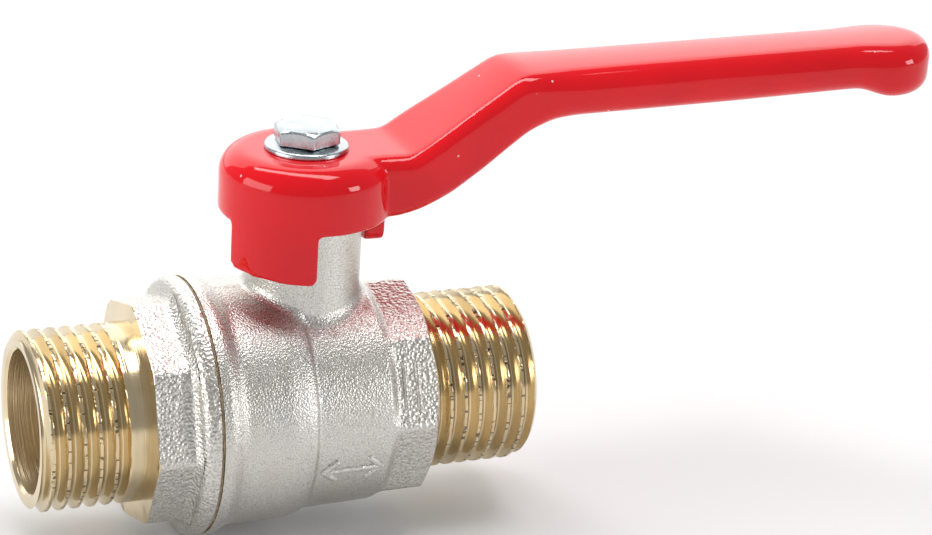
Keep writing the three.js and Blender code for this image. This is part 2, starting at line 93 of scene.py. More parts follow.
def linear(hex_colour):
    """An sRGB hex colour as linear light: each channel through the sRGB curve, undone."""
    share = np.array([int(hex_colour[i:i + 2], 16) for i in (1, 3, 5)]) / 255
    light = np.where(share <= 0.04045, share / 12.92, ((share + 0.055) / 1.055) ** 2.4)
    return tuple(float(c) for c in light)


def length(name, description, millimetres):
    return FloatProperty(name=name, description=description, default=millimetres * MM, unit="LENGTH",
                         precision=5)


def colour(name, description, hex_colour):
    return FloatVectorProperty(name=name, description=description, default=linear(hex_colour),
                               subtype="COLOR", size=3, min=0, max=1)


# ---- Sizes and colours that a user would change ----


class ThreadSizes(bpy.types.PropertyGroup):
    """The G 1/2 pipe thread at both ends."""
    crest: length("Crest radius", "Outside radius of the thread", 10.4775)
    depth: length("Depth", "From crest to root", 1.162)
    pitch: length("Pitch", "From one crest to the next: 14 turns to the inch", 25.4 / 14)
    bore: length("Bore radius", "Radius of the bore inside each threaded end", 8.33)
    inlet_crest: length("Inlet crest", "Place along the pipe of a crest on top of the inlet thread", -32.4)
    outlet_crest: length("Outlet crest", "Place along the pipe of a crest on top of the outlet", 15.25)
    end_drop: length("End chamfer", "How far the end face's edge lies inside the crest", 0.6)


class BodySizes(bpy.types.PropertyGroup):
    """The forged body with the neck, and the end adapter's octagon."""
    seam: length("Seam", "Place along the pipe where the body meets the adapter's flange", -13.55)
    collar: length("Collar radius", "Radius of the body's collar at the seam", 15.15)
    barrel: length("Barrel radius", "Radius of the barrel around the ball", 14.42)
    waist: length("Small barrel radius", "Radius of the barrel towards the outlet", 13.5)
    octagon_start: length("Octagon start", "Where the body's flats begin along the pipe", 7.3)
    octagon_end: length("Octagon end", "The body's turned face at the outlet", 13.37)
    flats: length("Across flats", "The body's octagon across its flats", 24.8)
    adapter_flats: length("Adapter across flats", "The adapter's octagon across its flats", 25.1)
    neck: length("Neck radius", "Radius of the neck around the stem", 6.77)
    neck_flare: length("Neck fillet", "Radius of the fillet at the foot of the neck", 1.1)
    outlet_face: length("Outlet face", "End face of the outlet thread along the pipe", 26.7)
    inlet_face: length("Inlet face", "End face of the inlet thread along the pipe", -33.13)


class HandleSizes(bpy.types.PropertyGroup):
    """The lever and its fastening."""
    hub: length("Hub radius", "Outside radius of the hub", 10)
    hub_top: length("Hub top", "Height of the hub's top above the pipe axis", 30.65)
    skirt: length("Skirt", "Height of the hub's lower rim above the pipe axis", 23.2)
    rim: length("Rim rounding", "Radius of the hub's upper edge", 2.9)
    edge: length("Edge rounding", "Radius of the arm's coated edges where it leaves the hub", 1.6)
    tip_edge: length("Tip rounding", "Radius of the edges at the lever's tip", 2.3)
    tip: length("Tip", "Reach of the lever's tip from the stem", 80.65)
    grip_width: length("Grip half width", "Half the grip's width", 5.7)
    bulb_width: length("Bulb half width", "Half the width of the bulb at the tip", 6.35)
    crown: length("Crown", "How much lower the grip's upper face lies at its edges", 0.42)
    bolt_flats: length("Bolt across flats", "The M4 bolt's hexagon across its flats", 7)
    washer: length("Washer radius", "Outside radius of the dished washer", 4.87)


class FinishColours(bpy.types.PropertyGroup):
    """The colours of the finishes."""
    nickel: colour("Nickel plate", "Blasted and nickel plated forging", "#E3E1DC")
    # Painted light: the bored brass is given a paler tone than the turned brass, standing in for light
    # inside the bores.
    bored_brass: colour("Bored brass", "Brass inside the bores, with coarser tool marks", "#F8E6C4")
    brass: colour("Turned brass", "Free-cutting brass straight from the lathe", "#EAD7B2")
    enamel: colour("Red enamel", "Thick gloss coating on the lever", "#E60A1A")
    zinc: colour("Zinc plate", "Bright bluish zinc on the bolt and washer", "#C8D0D4")
    sealant: colour("Sealant", "Cured sealant squeezed out at the seam", "#B09A7C")
    chrome: colour("Hard chrome", "Polished chrome on the ball", "#DADCDF")
    ptfe: colour("PTFE", "White seats", "#EEECE6")
    nitrile: colour("Nitrile", "Black O-rings", "#141415")
    floor: colour("Floor", "Plain pale floor", "#E6E6E6")


def in_mm(group):
    """Every length of a group in millimetres, under its own name."""
    names = [p.identifier for p in group.bl_rna.properties if p.identifier not in ("rna_type", "name")]
    return SimpleNamespace(**{name: getattr(group, name) / MM for name in names})


# ---- Surfaces ----


def smooth_step(x, start, end):
    """0 before start, 1 after end, and 3t^2 - 2t^3 between."""
    t = np.clip((x - start) / (end - start), 0, 1)
    return t * t * (3 - 2 * t)


def soft_min(a, b, width):
    """The smaller of a and b, rounded over where they cross: the mean less half of sqrt((a-b)^2 + w^2)."""
    return (a + b - np.sqrt((a - b) ** 2 + width ** 2)) / 2


def soft_curve(x, knots, spread):
    """Straight lines through the knots at x, averaged over a bell of the given spread."""
    at, value = np.array(knots, float).T
    lags = np.linspace(-2.5, 2.5, 21)
    weights = np.exp(-lags ** 2 / 2)
    samples = np.interp(np.asarray(x)[..., None] + lags * spread, at, value)
    return samples @ weights / weights.sum()


def around(count):
    """Angles that go once round."""
    return np.arange(count) * 2 * math.pi / count


def about_pipe(x, radius, angle):
    """Points at place x, radius r and angle a about the pipe: (x, r cos a, r sin a)."""
    x, radius, angle = np.broadcast_arrays(x, radius, angle)
    return np.stack([x, radius * np.cos(angle), radius * np.sin(angle)], -1)


def about_stem(radius, z, angle):
    """Points at radius r, height z and angle a about the stem: (r cos a, r sin a, z)."""
    radius, z, angle = np.broadcast_arrays(radius, z, angle)
    return np.stack([radius * np.cos(angle), radius * np.sin(angle), z], -1)


def turned_x(profile, count):
    """A profile of (x, r) pairs carried round the pipe axis."""
    at = np.array(profile, float)
    return about_pipe(at[:, :1], at[:, 1:], around(count)[None])


def turned_z(profile, count):
    """A profile of (r, z) pairs carried round the stem axis."""
    at = np.array(profile, float)
    return about_stem(at[:, :1], at[:, 1:], around(count)[None])


def capped(rows):
    """The rows of a tube with both ends drawn together to the middle of the end row."""
    first, last = (np.broadcast_to(rows[i].mean(0), rows[i].shape) for i in (0, -1))
    return np.concatenate([first[None], rows, last[None]])


def shell(rows, ring=False, finish=0, crest=0.0):
    """One closed surface: a grid of points whose columns go round, and whose rows too if it is a ring."""
    return SimpleNamespace(rows=rows, ring=ring, finish=finish, crest=crest)


def quads(rows, columns, ring):
    """The corner numbers of a grid's quads, with the last column joined to the first."""
    i = np.arange(rows if ring else rows - 1)[:, None]
    j = np.arange(columns)[None]
    here, above, right = i * columns, (i + 1) % rows * columns, (j + 1) % columns
    return np.stack([here + j, here + right, above + right, above + j], -1).reshape(-1, 4)


def mesh_of(name, shells, materials, sharp_deg=32):
    """Puts the shells, given in millimetres, into one mesh in metres, with its doubles merged and its faces
    outwards."""
    points, corners, finishes, crests, start = [], [], [], [], 0
    for each in shells:
        rows, columns = each.rows.shape[:2]
        corners.append(quads(rows, columns, each.ring) + start)
        finishes.append(np.broadcast_to(each.finish, (corners[-1].shape[0] // columns, columns)).ravel())
        crests.append(np.broadcast_to(each.crest, (rows, columns)).ravel())
        points.append(each.rows.reshape(-1, 3) * MM)
        start += rows * columns
    points, corners = np.concatenate(points), np.concatenate(corners)
    mesh = bpy.data.meshes.new(name)
    mesh.from_pydata(points, [], corners)
    mesh.polygons.foreach_set("material_index", np.concatenate(finishes).astype(np.int32))
    crest = mesh.attributes.new("crest", "FLOAT", "POINT")
    crest.data.foreach_set("value", np.concatenate(crests).astype(np.float32))
    work = bmesh.new()
    work.from_mesh(mesh)
    bmesh.ops.remove_doubles(work, verts=work.verts, dist=1e-7)
    bmesh.ops.recalc_face_normals(work, faces=work.faces)
    work.to_mesh(mesh)
    work.free()
    mesh.shade_smooth()
    mesh.set_sharp_from_angle(angle=math.radians(sharp_deg))
    for material in materials:
        mesh.materials.append(material)
    return mesh


def place(mesh, body, slot, *nodes):
    """Shows a mesh as a piece that rides on a body and stands for CAD nodes."""
    piece = bpy.data.objects.new(mesh.name, mesh)
    bpy.context.scene.collection.objects.link(piece)
    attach(piece, body)
    if nodes:
        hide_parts(*nodes)
    return piece


def fused(mesh, voxel_mm, rounds):
    """The overlapping shells of a mesh as one skin, its edges rounded over as by a thick coating."""
    carrier = bpy.data.objects.new(mesh.name + "_parts", mesh)
    bpy.context.scene.collection.objects.link(carrier)
    remesh = carrier.modifiers.new("One skin", "REMESH")
    remesh.mode = "VOXEL"
    remesh.voxel_size = voxel_mm * MM
    remesh.use_smooth_shade = True
    relax = carrier.modifiers.new("Coating", "SMOOTH")
    relax.factor = 0.5
    relax.iterations = rounds
    evaluated = carrier.evaluated_get(bpy.context.evaluated_depsgraph_get())
    skin = bpy.data.meshes.new_from_object(evaluated)
    name = mesh.name
    bpy.data.objects.remove(carrier)
    bpy.data.meshes.remove(mesh)
    skin.name = name
    skin.shade_smooth()
    if len(skin.polygons) < 1000:
        raise RuntimeError(f"{name} came out empty")
    return skin


# ---- Finishes ----


FACTOR, FIRST, SECOND, MIXED = 0, 6, 7, 2  # places of a Mix node's colour sockets
SMOOTH = {"interpolation_type": "SMOOTHSTEP"}
COLOURS = {"data_type": "RGBA"}
MIDDLE = {"From Min": 0.3, "From Max": 0.7}  # where most of a noise's values lie


def add(tree, kind, inputs=None, output=0, **settings):
    """Adds a node with its settings and links, and gives one of its outputs. An input takes a value, a
    colour or another node's output."""
    made = tree.nodes.new("ShaderNode" + kind)
    for key, value in settings.items():
        setattr(made, key, value)
    for key, value in (inputs or {}).items():
        socket = made.inputs[key]
        if isinstance(value, bpy.types.NodeSocket):
            tree.links.new(value, socket)
        elif socket.type == "RGBA":
            socket.default_value = (*value, 1)
        else:
            socket.default_value = value
    return made.outputs[output] if made.outputs else None


def blank(name):
    """A new material with an empty node tree and the object's own coordinates."""
    material = bpy.data.materials.new(name)
    material.use_nodes = True
    tree = material.node_tree
    tree.nodes.clear()
    return material, tree, add(tree, "TexCoord", output="Object")


def shade(tree, inputs):
    """The surface shader with these inputs, joined to the output."""
    add(tree, "OutputMaterial", {"Surface": add(tree, "BsdfPrincipled", inputs, "BSDF")})


def per_lump(size_mm):
    """The scale of a texture whose lumps are about this far across."""
    return 1 / (size_mm * MM)


def darker(tone, share):
    """A tone with this share of its light left."""
    return tuple(c * share for c in tone)


def blasted_nickel(tone, name, grain_mm, depth_mm):
    """Nickel plated on a brass forging that was shot blasted: satin metal covered in small dents that
    sparkle, with painted sparkle and shade in its fine grain. Real dents are about 0.1 mm across, so they
    are drawn two to four times as coarse to show."""
    material, tree, where = blank(name)
    grain = {"Vector": where, "Scale": per_lump(grain_mm)}
    dents = add(tree, "TexVoronoi", grain, "Distance")
    swell = add(tree, "TexNoise", {"Vector": where, "Scale": per_lump(4 * grain_mm)}, "Fac")
    fine_grain = {"Vector": where, "Scale": per_lump(0.6 * grain_mm), "Roughness": 0.6}
    fine = add(tree, "TexNoise", fine_grain, "Fac")
    stain = add(tree, "TexNoise", {"Vector": where, "Scale": per_lump(9), "Detail": 3}, "Fac")
    # Painted sparkle and painted shade in the blast grain: the tone stays full where the fine grain stands
    # high and is darkened to six tenths where it is low.
    painted_grain_light = add(tree, "MapRange", {"Value": fine, "From Min": 0.3, "From Max": 0.6}, **SMOOTH)
    patches = {"Value": stain, "From Min": 0.35, "From Max": 0.7, "To Max": 0.35}
    stained = add(tree, "MapRange", patches, **SMOOTH)
    base = add(tree, "Mix", {FACTOR: painted_grain_light, FIRST: darker(tone, 0.6), SECOND: tone}, MIXED, **COLOURS)
    base = add(tree, "Mix", {FACTOR: stained, FIRST: base, SECOND: linear("#D4CBBF")}, MIXED, **COLOURS)
    normal = add(tree, "Bump", {"Height": swell, "Distance": 0.6 * depth_mm * MM})
    normal = add(tree, "Bump", {"Height": dents, "Distance": depth_mm * MM, "Normal": normal})
    normal = add(tree, "Bump", {"Height": fine, "Distance": 0.4 * depth_mm * MM, "Normal": normal})
    satin = {"Value": fine, **MIDDLE, "To Min": 0.27, "To Max": 0.42}
    roughness = add(tree, "MapRange", satin, **SMOOTH)
    shade(tree, {"Base Color": base, "Metallic": 1.0, "Normal": normal, "Roughness": roughness})
    return material


def turned_brass(tone, name, dull, ring_mm):
    """Brass from the lathe: bright rings round the pipe where the tool passed, and nicks along the thread's
    crests, painted dark as shade in the nicks. A bore's rings are deeper and it is duller, and it is given a
    paler tone as painted light. Real feed marks are about 0.08 mm apart, too fine to show, so they are drawn
    twice as coarse."""
    material, tree, where = blank(name)
    round_fine = add(tree, "Mapping", {"Vector": where, "Scale": (1, 0.02, 0.02)})
    round_coarse = add(tree, "Mapping", {"Vector": where, "Scale": (1, 0.05, 0.05)})
    along = add(tree, "Mapping", {"Vector": where, "Scale": (0.2, 1, 1)})
    rings = add(tree, "TexNoise", {"Vector": round_fine, "Scale": per_lump(0.16), "Roughness": 0.6}, "Fac")
    bands = add(tree, "TexNoise", {"Vector": round_coarse, "Scale": per_lump(1.1)}, "Fac")
    tarnish = add(tree, "TexNoise", {"Vector": where, "Scale": per_lump(6), "Detail": 3}, "Fac")
    nick = add(tree, "TexNoise", {"Vector": along, "Scale": per_lump(0.36), "Detail": 1}, "Fac")
    crest = add(tree, "Attribute", output="Fac", attribute_name="crest")
    on_crest = add(tree, "MapRange", {"Value": crest, "From Min": 0.8, "From Max": 0.97}, **SMOOTH)
    chipped = add(tree, "MapRange", {"Value": nick, "From Min": 0.6, "From Max": 0.64}, **SMOOTH)
    nicks_and_shade = add(tree, "Math", {0: on_crest, 1: chipped}, operation="MULTIPLY")
    clouds = {"Value": tarnish, **MIDDLE, "To Max": 0.55}
    aged = add(tree, "MapRange", clouds, **SMOOTH)
    stripes = {"Value": bands, "From Min": 0.35, "From Max": 0.65, "To Max": 0.25}
    banded = add(tree, "MapRange", stripes, **SMOOTH)
    base = add(tree, "Mix", {FACTOR: aged, FIRST: tone, SECOND: darker(tone, 0.78)}, MIXED, **COLOURS)
    base = add(tree, "Mix", {FACTOR: banded, FIRST: base, SECOND: darker(tone, 0.6)}, MIXED, **COLOURS)
    # Painted shade: the nicks on the crests are darkened to a quarter of the tone, as shade in these small
    # notches.
    base = add(tree, "Mix", {FACTOR: nicks_and_shade, FIRST: base, SECOND: darker(tone, 0.25)}, MIXED, **COLOURS)
    normal = add(tree, "Bump", {"Height": rings, "Distance": ring_mm * MM})
    normal = add(tree, "Bump", {"Height": nicks_and_shade, "Distance": -0.08 * MM, "Normal": normal})
    bright = {"Value": bands, **MIDDLE, "To Min": dull, "To Max": dull + 0.1}
    roughness = add(tree, "MapRange", bright, **SMOOTH)
    shade(tree, {"Base Color": base, "Metallic": 1.0, "Normal": normal, "Roughness": roughness})
    return material


def gloss_enamel(tone):
    """Thick red enamel over a die casting: one deep colour with a wet gloss, a slow orange peel and a few
    grains of dust set in it."""
    material, tree, where = blank("red_gloss_enamel")
    peel = add(tree, "TexNoise", {"Vector": where, "Scale": per_lump(3.2), "Detail": 1}, "Fac")
    depth = add(tree, "TexNoise", {"Vector": where, "Scale": per_lump(14)}, "Fac")
    dust = add(tree, "TexVoronoi", {"Vector": where, "Scale": per_lump(3.4)}, "Distance")
    near = {"Value": dust, "From Min": 0.028, "From Max": 0.05, "To Min": 1, "To Max": 0}
    speck = add(tree, "MapRange", near, **SMOOTH)
    thick = add(tree, "MapRange", {"Value": depth, **MIDDLE}, **SMOOTH)
    base = add(tree, "Mix", {FACTOR: thick, FIRST: darker(tone, 0.86), SECOND: tone}, MIXED, **COLOURS)
    base = add(tree, "Mix", {FACTOR: speck, FIRST: base, SECOND: linear("#F9C4C4")}, MIXED, **COLOURS)
    normal = add(tree, "Bump", {"Height": peel, "Distance": 0.006 * MM})
    normal = add(tree, "Bump", {"Height": speck, "Distance": 0.05 * MM, "Normal": normal})
    shade(tree, {"Base Color": base, "Roughness": 0.05, "IOR": 1.44, "Normal": normal})
    return material


def bright_zinc(tone):
    """Bright zinc plate on a cold-headed bolt: bluish metal, clouded by the passivation, with rub marks."""
    material, tree, where = blank("bright_zinc_plate")
    across = add(tree, "Mapping", {"Vector": where, "Scale": (1, 0.2, 1)})
    clouds = {"Vector": where, "Scale": per_lump(1.6), "Detail": 3, "Roughness": 0.6}
    cloud = add(tree, "TexNoise", clouds, "Fac")
    rub = add(tree, "TexNoise", {"Vector": across, "Scale": per_lump(0.25), "Roughness": 0.6}, "Fac")
    clear = add(tree, "MapRange", {"Value": cloud, **MIDDLE}, **SMOOTH)
    base = add(tree, "Mix", {FACTOR: clear, FIRST: darker(tone, 0.72), SECOND: tone}, MIXED, **COLOURS)
    haze = {"Value": cloud, **MIDDLE, "To Min": 0.2, "To Max": 0.34}
    roughness = add(tree, "MapRange", haze, **SMOOTH)
    normal = add(tree, "Bump", {"Height": rub, "Distance": 0.008 * MM})
    shade(tree, {"Base Color": base, "Metallic": 1.0, "Normal": normal, "Roughness": roughness})
    return material


def set_sealant(tone):
    """Anaerobic sealant that set where it was squeezed out: a lumpy brown bead with a dull skin."""
    material, tree, where = blank("set_sealant")
    lumps = add(tree, "TexNoise", {"Vector": where, "Scale": per_lump(0.7), "Detail": 3}, "Fac")
    thin = add(tree, "MapRange", {"Value": lumps, **MIDDLE}, **SMOOTH)
    base = add(tree, "Mix", {FACTOR: thin, FIRST: darker(tone, 0.55), SECOND: tone}, MIXED, **COLOURS)
    normal = add(tree, "Bump", {"Height": lumps, "Distance": 0.08 * MM})
    shade(tree, {"Base Color": base, "Roughness": 0.55, "IOR": 1.5, "Normal": normal})
    return material


def hard_chrome(tone):
    """Hard chrome polished on the ball: a mirror with very faint lapping marks."""
    material, tree, where = blank("polished_hard_chrome")
    along = add(tree, "Mapping", {"Vector": where, "Scale": (0.1, 1, 1)})
    marks = add(tree, "TexNoise", {"Vector": along, "Scale": per_lump(0.4), "Roughness": 0.6}, "Fac")
    clear = add(tree, "MapRange", {"Value": marks, **MIDDLE}, **SMOOTH)
    base = add(tree, "Mix", {FACTOR: clear, FIRST: darker(tone, 0.9), SECOND: tone}, MIXED, **COLOURS)
    polish = {"Value": marks, **MIDDLE, "To Min": 0.05, "To Max": 0.12}
    roughness = add(tree, "MapRange", polish, **SMOOTH)
    normal = add(tree, "Bump", {"Height": marks, "Distance": 0.002 * MM})
    shade(tree, {"Base Color": base, "Metallic": 1.0, "Roughness": roughness, "Normal": normal})
    return material


def moulded(name, tone, roughness, grain_mm, depth_mm):
    """A moulded or machined plastic or rubber: a tone that varies a little, and a fine-grained skin."""
    material, tree, where = blank(name)
    skin = add(tree, "TexNoise", {"Vector": where, "Scale": per_lump(grain_mm)}, "Fac")
    worn = add(tree, "MapRange", {"Value": skin, **MIDDLE}, **SMOOTH)
    base = add(tree, "Mix", {FACTOR: worn, FIRST: darker(tone, 0.88), SECOND: tone}, MIXED, **COLOURS)
    normal = add(tree, "Bump", {"Height": skin, "Distance": depth_mm * MM})
    shade(tree, {"Base Color": base, "Roughness": roughness, "IOR": 1.45, "Normal": normal})
    return material


FINISHES = {}


def finishes():
    """Each finish, made once from the colours of the scene."""
    if not FINISHES:
        tones = bpy.context.scene.valve_colours
        FINISHES.update(
            barrel=blasted_nickel(tones.nickel, "blasted_nickel_plate", 0.25, 0.05),
            flats=blasted_nickel(tones.nickel, "coarse_blasted_nickel_plate", 0.42, 0.1),
            brass=turned_brass(tones.brass, "turned_brass", 0.13, 0.018),
            # Painted light: the bores take the paler bored-brass tone, standing in for light inside them.
            bore=turned_brass(tones.bored_brass, "bored_brass", 0.27, 0.05),
            enamel=gloss_enamel(tones.enamel),
            zinc=bright_zinc(tones.zinc),
            sealant=set_sealant(tones.sealant),
            chrome=hard_chrome(tones.chrome),
            ptfe=moulded("virgin_ptfe", tones.ptfe, 0.42, 0.8, 0.01),
            nitrile=moulded("moulded_nitrile", tones.nitrile, 0.6, 0.3, 0.01),
        )
    return FINISHES


# ---- Pieces of the pressure shell ----


BODY_TURN, ADAPTER_TURN = 22.5, 17.3  # how far each octagon is turned, in degrees
CHAMFER = math.radians(30)  # slope of the turned chamfers on both octagons
CREST_SHARE = 0.2  # part of the pitch that is left as a flat crest


def octagon(angle, flats, turn_deg, soften=0.12):
    """An octagon's radius at an angle: half the flats over the cosine of the angle from the nearest flat,
    with its corners eased."""
    flat_normal = math.pi - math.radians(turn_deg)
    off = (angle - flat_normal + math.pi / 8) % (math.pi / 4) - math.pi / 8
    corner = flats / 2 / math.cos(math.pi / 8)
    return soft_min(flats / 2 / np.cos(off), corner - soften / 2, soften) + soften / 4


def thread(x, angle, top_crest, t):
    """A right-hand thread: x less the turn made so far times the pitch says how far a point is from a crest.
    The flat crest falls into the groove as a quarter of a sine wave."""
    turn = (x - top_crest) / t.pitch - (angle - TOP) / (2 * math.pi)
    from_crest = 2 * np.abs(turn - np.round(turn))
    into_groove = np.clip((from_crest - CREST_SHARE) / (1 - CREST_SHARE), 0, 1)
    return t.crest - t.depth * np.sin(into_groove * QUARTER)


def threaded_end(face, shank, top_crest, t, plain):
    """Rows from the end face to the shank: the thread under its end chamfer, filled up where it runs out
    before the plain part. Also how near each point is to the crest, from 0 at the root to 1."""
    step, run_out_length, cone_slope = 0.085, 0.9, 1.1
    inward = math.copysign(1, shank - face)
    x = face + inward * np.arange(0, abs(shank - face), step)
    x = np.append(x, shank)[:, None]
    angle = around(ROUND)[None]
    radius = thread(x, angle, top_crest, t)
    run_out = smooth_step(np.abs(x - shank), plain + run_out_length, plain)
    radius = radius + (t.crest - radius) * run_out
    cone = t.crest - t.end_drop + cone_slope * np.abs(x - face)
    radius = np.minimum(radius, cone)
    return about_pipe(x, radius, angle), (radius - t.crest + t.depth) / t.depth * (1 - run_out)


def forging_radius(x, angle, b):
    """The body's outside radius: collar, barrel and waist in soft steps, then flats cut into it at the
    outlet, all under the turned chamfer. A low line of flash runs along the top of the barrel."""
    steps = [(-14, b.collar), (-12.5, b.collar), (-12, b.collar - 0.15), (-11, b.barrel + 0.1),
             (-10.4, b.barrel), (-5, b.barrel), (-3.2, b.barrel - 0.18), (-2.2, b.barrel - 0.4),
             (-1.8, b.waist + 0.08), (5, b.waist - 0.06), (9, b.waist - 0.2), (14, b.waist - 0.2)]
    round_part = soft_curve(x, steps, 0.14)
    flats = octagon(angle, b.flats, BODY_TURN)
    share = smooth_step(x, b.octagon_start - 0.3, b.octagon_start + 1.1)
    radius = round_part + (np.minimum(flats, round_part + 0.1) - round_part) * share
    flash_height, flash_width, flash_middle, flash_reach = 0.11, 0.022, -8, 4.4
    flash = flash_height * np.exp(-((angle - TOP) / flash_width) ** 2)
    flash = flash * smooth_step(np.abs(x - flash_middle), flash_reach, flash_reach - 1.2)
    end_radius = 12.14
    turned = end_radius + (b.octagon_end - x) / math.tan(CHAMFER)
    return np.minimum(radius + flash, turned)


def neck_shell(b):
    """The neck: a tube round the stem, whose foot is a quarter circle that lands on the forging."""
    angle = around(160)[None]
    swing = np.linspace(0, QUARTER, 15)[:, None]
    radius = b.neck + b.neck_flare * (1 - np.sin(swing))
    straight_from, top, chamfer, bore_end, buried = 21, 26.4, 0.4, 15, 0.9

    def ground(radius):
        x, y = radius * np.cos(angle), radius * np.sin(angle)
        height = np.sqrt(b.barrel ** 2 - y ** 2)
        for _ in range(3):
            outside = forging_radius(x, np.arctan2(height, y), b)
            height = np.sqrt(outside ** 2 - y ** 2)
        return height

    def buried_ring(radius):
        return about_stem(radius, ground(np.full((1, 1), radius)) - buried, angle)

    foot = about_stem(radius, ground(radius) + b.neck_flare * (1 - np.cos(swing)) - SUNK, angle)
    tall = turned_z([(b.neck, straight_from), (b.neck, top - chamfer), (b.neck - chamfer, top),
                     (STEM_BORE, top), (STEM_BORE, bore_end)], 160)
    rows = [foot, tall, buried_ring(STEM_BORE), buried_ring(b.neck + b.neck_flare)]
    return shell(np.concatenate(rows), ring=True)


def post(low, high, edge, steps=6):
    """A block with rounded edges: a rounded rectangle carried from low to high, drawn in at both ends."""
    (x0, y0, z0), (x1, y1, z1) = low, high
    turn = np.linspace(0, QUARTER, steps)
    corners = ((x1, y1, 0), (x0, y1, 1), (x0, y0, 2), (x1, y0, 3))
    inset = edge * (1 - np.sin(turn))
    rise = edge * (1 - np.cos(turn))
    heights = np.concatenate([z0 + rise, z1 - rise[::-1]])
    rows = []
    for z, away in zip(heights, np.concatenate([inset, inset[::-1]])):
        loop = []
        for x, y, quarter in corners:
            swing = turn + quarter * QUARTER
            cx = x - math.copysign(edge, x - (x0 + x1) / 2)
            cy = y - math.copysign(edge, y - (y0 + y1) / 2)
            loop.append(np.stack([cx + (edge - away) * np.cos(swing), cy + (edge - away) * np.sin(swing),
                                  np.full(steps, z)], -1))
        rows.append(np.concatenate(loop))
    return shell(capped(np.array(rows)))


def raised_stroke(start, end, half, height, surface):
    """A raised stroke cast on the metal: an ellipse carried from start to end, closed by round ends."""
    start, end = np.array(start, float), np.array(end, float)
    along = (end - start) / np.linalg.norm(end - start)
    side = np.array([-along[1], along[0]])
    cap = np.linspace(0, QUARTER, 7)
    reach = np.concatenate([-half * np.cos(cap), np.linalg.norm(end - start) + half * np.sin(cap)])
    width = np.concatenate([np.sin(cap), np.cos(cap)])[:, None]
    swing = around(20)[None]
    flat = start + reach[:, None, None] * along + (half * width * np.cos(swing))[..., None] * side
    return shell(surface(flat[..., 0], flat[..., 1], height * width * np.sin(swing)))


def on_barrel(along, up, rise, b):
    """A place on the barrel's front: along the pipe, up from the mark's middle and out of the metal."""
    middle = math.radians(199.5)
    lean = middle - up / b.waist
    return about_pipe(along, forging_radius(along, lean, b) - SUNK + rise, lean)


def on_flat(along, up, rise, b):
    """A place on the body's front flat, given in the same way."""
    normal = math.radians(180 - BODY_TURN)
    out = b.flats / 2 + rise - SUNK
    return np.stack([along, out * math.cos(normal) + up * math.sin(normal),
                     out * math.sin(normal) - up * math.cos(normal)], -1)


class OBJECT_OT_valve_body(bpy.types.Operator):
    """Forged body with its neck, handle stop, flow arrow and outlet thread"""
    bl_idname = "object.valve_body"
    bl_label = "Body"

    def execute(self, context):
        t, b = in_mm(context.scene.valve_thread), in_mm(context.scene.valve_body)
        looks = finishes()
        angle = around(ROUND)[None]
        stretches = [(b.seam, -10.5, 0.12), (-10.5, -2.4, 0.3), (-2.4, -1, 0.07), (-1, 6.9, 0.3),
                     (6.9, 8.6, 0.1), (8.6, 12.3, 0.4), (12.3, b.octagon_end, 0.08)]
        x = np.concatenate([*(np.arange(*stretch) for stretch in stretches), [b.octagon_end]])[:, None]
        outside = about_pipe(x, forging_radius(x, angle, b), angle)
        threaded, crest = threaded_end(b.outlet_face, b.octagon_end, t.outlet_crest, t, 0.5)
        inside = turned_x([
            (b.outlet_face, t.bore + LIP), (b.outlet_face - LIP, t.bore), (15.4, t.bore),
            (14.4, SEAT_BORE), (POCKET_END, SEAT_BORE), (POCKET_END, POCKET), (BALL_ROOM_END, POCKET),
            (BALL_ROOM_END, BALL_ROOM), (-BALL_ROOM_END, BALL_ROOM), (-BALL_ROOM_END, RECESS),
            (b.seam, RECESS),
        ], ROUND)
        rows = np.concatenate([outside, threaded[::-1], inside])
        barrel, flats, brass, bored = range(4)
        finish = np.full((len(rows), 1), barrel)
        finish[(x[:, 0] > b.octagon_start + 0.9).nonzero()[0]] = flats
        finish[len(outside) - 1:] = brass
        finish[len(outside) + len(threaded) + 1:-1] = bored
        crests = np.zeros(rows.shape[:2])
        crests[len(outside):len(outside) + len(threaded)] = crest[::-1]
        whole = shell(rows, ring=True, finish=finish, crest=crests)

        tail, tip, barb = -0.9, 6.2, 1.5
        arrow = [((tail, 0), (tip, 0))]
        arrow += [((tail, 0), (tail + barb, up)) for up in (1.3, -1.3)]
        arrow += [((tip, 0), (tip - barb, up)) for up in (1.3, -1.3)]
        bars = [((along, -2.6), (along, 2.6)) for along in (9.2, 10.8)]
        strokes = [raised_stroke(p, q, 0.42, 0.36, lambda *place: on_barrel(*place, b)) for p, q in arrow]
        strokes += [raised_stroke(p, q, 0.32, 0.28, lambda *place: on_flat(*place, b)) for p, q in bars]
        stop = post((-2.2, 3.4, 10), (2.2, 9.7, 21.8), 0.5)
        mesh = mesh_of("valve_body_forging", [whole, neck_shell(b), stop, *strokes],
                       [looks["barrel"], looks["flats"], looks["brass"], looks["bore"]])
        place(mesh, "valve", "plated_brass", "valve_body")
        return {"FINISHED"}


def sealant_bead(b):
    """A thin ring round the seam, its radius wavering by a sum of four sines."""
    middle, sunk, thickness, waver = -13.675, 0.26, 0.14, 0.4
    angle = around(360)[None]
    rise = (0.13 * np.sin(7 * angle + 1) + 0.1 * np.sin(17 * angle)
            + 0.07 * np.sin(41 * angle + 2) + 0.05 * np.sin(73 * angle))
    swing = around(10)[:, None]
    radius = b.collar - sunk + waver * rise + thickness * np.sin(swing)
    return shell(about_pipe(middle + thickness * np.cos(swing), radius, angle), ring=True)


